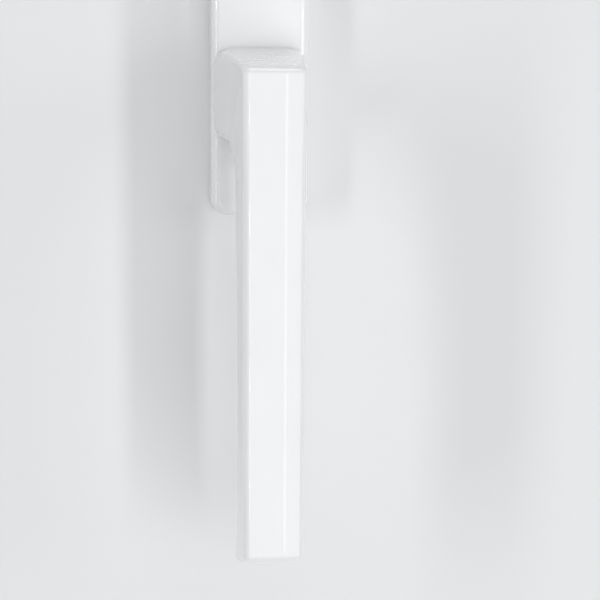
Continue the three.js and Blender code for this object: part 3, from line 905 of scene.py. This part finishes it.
# ---- Pieces on their bodies ----

SHARP_ANGLE = math.radians(32)
BEVEL_ANGLE = math.radians(40)


def place(piece, node, slot, bevel=0.0):
    """Shades a piece, gives it its finish and puts it on the body of the node that it stands for."""
    piece.name = "fine_" + node
    mesh = piece.data
    mesh.name = piece.name
    mesh.materials.clear()
    mesh.materials.append(FINISHES[slot])
    for polygon in mesh.polygons:
        polygon.use_smooth = True
    mesh.set_sharp_from_angle(angle=SHARP_ANGLE)
    if bevel:
        edges = piece.modifiers.new("edges", "BEVEL")
        edges.width = bevel
        edges.segments = 2
        edges.limit_method = "ANGLE"
        edges.angle_limit = BEVEL_ANGLE
        edges.use_clamp_overlap = True
    weights = piece.modifiers.new("normals", "WEIGHTED_NORMAL")
    weights.keep_sharp = True
    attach(piece, frame["nodes"][node]["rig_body"])
    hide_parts(node)


place(build_lever(), "lever", "lever_enamel")
place(build_ring("slide_ring", SLIDE_RING_BORE, 0.15 * MM), "slide_ring", "natural_plastic")
place(build_spindle(), "spindle", "plated_steel")
place(build_roll_pin(), "spindle_roll_pin", "spring_steel")
place(build_ring("thrust_washer", JOURNAL_RADIUS + GAP, 0.1 * MM), "thrust_washer", "plated_steel")
place(build_wave_washer(), "wave_washer", "spring_steel")
place(build_detent_cam(), "detent_cam", "cast_zinc", 0.12 * MM)
place(build_retaining_ring(), "retaining_ring", "spring_steel", 0.06 * MM)
place(build_cover_cap(), "cover_cap", "cap_plastic", 0.12 * MM)
place(build_base_plate(), "base_plate", "cast_zinc", 0.12 * MM)
place(build_guide_bush(), "guide_bush", "natural_plastic")
place(build_back_plate(), "back_plate", "plated_steel", 0.06 * MM)
for end, side in (("left", -1), ("right", 1)):
    place(build_detent_spring(side), "detent_spring_" + end, "spring_steel", 0.05 * MM)
for end, side in (("upper", 1), ("lower", -1)):
    place(build_rivet(side * RIVET_HEIGHT), "back_plate_rivet_" + end, "plated_steel")
    place(build_fixing_screw(side * SCREW_HEIGHT), "fixing_screw_" + end, "plated_steel")
    place(build_locating_lug(side * SCREW_HEIGHT), "locating_lug_" + end, "grey_plastic")


# ---- Camera: a little to the left of the handle, level with its base, looking slightly down ----

CAMERA_PLACE = Vector((-47.65, -507.17, -5.95)) * MM
CAMERA_YAW = math.radians(6.87)
CAMERA_PITCH = math.radians(6.32)
CAMERA_ROLL = math.radians(0.31)
CAMERA_LENS = 100
SENSOR = 36


def add_camera():
    camera = bpy.data.objects.new("camera", bpy.data.cameras.new("camera"))
    bpy.context.scene.collection.objects.link(camera)
    bpy.context.scene.camera = camera
    camera.data.sensor_width = SENSOR
    camera.data.lens = CAMERA_LENS
    turn = Matrix.Rotation(-CAMERA_YAW, 3, "Z") @ Matrix.Rotation(math.pi / 2 - CAMERA_PITCH, 3, "X")
    roll = Matrix.Rotation(CAMERA_ROLL, 3, "Z")
    camera.matrix_world = Matrix.Translation(CAMERA_PLACE) @ (turn @ roll).to_4x4()


# ---- Stage and light ----

STAGE_HALF = 1.5
FLOOR_Z = -1.4
FLOOR_FAR = 14


def painted(name, color, roughness):
    material, tree, shader = new_material(name)
    shader.inputs["Base Color"].default_value = (*color, 1)
    shader.inputs["Roughness"].default_value = roughness
    return material, tree, shader


def add_floor():
    corners = ((-1, -1), (1, -1), (1, 1), (-1, 1))
    points = [(x * FLOOR_FAR, y * FLOOR_FAR, FLOOR_Z) for x, y in corners]
    floor = new_object("floor", points, [(0, 1, 2, 3)])
    floor.data.materials.append(painted("floor_paint", (0.78, 0.785, 0.79), 0.5)[0])
    return floor


def add_wall():
    """A pale wall right behind the handle, shown from its room side only.

    The wall is open where the base covers it, as a sash is bored there, so the back gets light.
    """
    hidden = 1 * MM
    level = 0.15 * MM
    half_x, half_z = CAP_HALF_WIDTH - hidden, CAP_HALF_HEIGHT - hidden
    outside = plate_ring(STAGE_HALF, STAGE_HALF, STAGE_HALF / 10, level)
    opening = plate_ring(half_x, half_z, CAP_CORNER - hidden, level)
    count = len(opening)
    strips = [(i, (i + 1) % count, count + (i + 1) % count, count + i) for i in range(count)]
    wall = new_object("wall", outside + opening, strips)
    if wall.data.polygons[0].normal.y > 0:
        wall.data.flip_normals()
    material, tree, shader = painted("wall_paint", (0.8, 0.805, 0.81), 0.8)
    shader.inputs["Specular IOR Level"].default_value = 0.1
    side = tree.nodes.new("ShaderNodeNewGeometry")
    clear = tree.nodes.new("ShaderNodeBsdfTransparent")
    choose = tree.nodes.new("ShaderNodeMixShader")
    tree.links.new(side.outputs["Backfacing"], choose.inputs["Fac"])
    tree.links.new(shader.outputs["BSDF"], choose.inputs[1])
    tree.links.new(clear.outputs["BSDF"], choose.inputs[2])
    tree.links.new(choose.outputs["Shader"], tree.nodes["Material Output"].inputs["Surface"])
    wall.data.materials.append(material)
    return wall


LAMP_DISTANCE = 1.4
LAMP_AIM = Vector((0, -0.02, -0.05))
ROOM_COLOR = (0.97, 0.99, 1, 1)
ROOM_STRENGTH = 0.35
LAMPS = (
    # name, degrees to the right, degrees up, width, height, power, seen in gloss, seen in shade
    ("window", 30.6, -24, 0.12, 1.4, 5.7, False, True),
    ("left_lamp", -56, 3, 0.15, 1.2, 5.3, False, True),
    ("right_lamp", 60, 10, 0.5, 0.8, 2.6, False, True),
    ("top_lamp", 10, 72, 0.5, 0.5, 3.1, True, True),
    ("front_lamp", 8, -4, 0.9, 0.9, 4.3, False, True),
    ("soft_panel", 23.5, -18, 1.75, 1.8, 12, True, False),
    ("strip_lamp", 9.2, -7, 0.008, 0.55, 0.045, True, False),
    ("rim_lamp", -9.5, -5, 0.014, 0.7, 2.2, True, False),
)
# These two light the cover cap only. Its rounded edges mirror them as fine bright lines.
EDGE_LAMPS = (
    ("left_edge_lamp", -55, -5, 0.06, 0.7, 7, True, False),
    ("right_edge_lamp", 28, 0, 0.03, 0.7, 8, True, False),
)


def add_lamp(name, azimuth, elevation, width, height, power, in_gloss, in_shade):
    """A soft light on a dome round the handle, turned to face it."""
    around, up = math.radians(azimuth), math.radians(elevation)
    level = math.cos(up)
    away = Vector((math.sin(around) * level, -math.cos(around) * level, math.sin(up)))
    data = bpy.data.lights.new(name, "AREA")
    data.shape = "RECTANGLE"
    data.size = width
    data.size_y = height
    data.energy = power
    lamp = bpy.data.objects.new(name, data)
    lamp.visible_glossy = in_gloss
    lamp.visible_diffuse = in_shade
    bpy.context.scene.collection.objects.link(lamp)
    turn = (-away).to_track_quat("-Z", "Y").to_matrix().to_4x4()
    lamp.matrix_world = Matrix.Translation(LAMP_AIM + LAMP_DISTANCE * away) @ turn
    return lamp


def add_lights():
    world = bpy.data.worlds.new("room")
    bpy.context.scene.world = world
    world.use_nodes = True
    background = world.node_tree.nodes["Background"]
    background.inputs["Color"].default_value = ROOM_COLOR
    background.inputs["Strength"].default_value = ROOM_STRENGTH
    for row in LAMPS:
        add_lamp(*row)
    cap_only = bpy.data.collections.new("cap_only")
    cap_only.objects.link(bpy.data.objects["fine_cover_cap"])
    for row in EDGE_LAMPS:
        add_lamp(*row).light_linking.receiver_collection = cap_only


bpy.context.scene.view_settings.view_transform = "Standard"
add_camera()
add_wall()
add_floor()
add_lights()
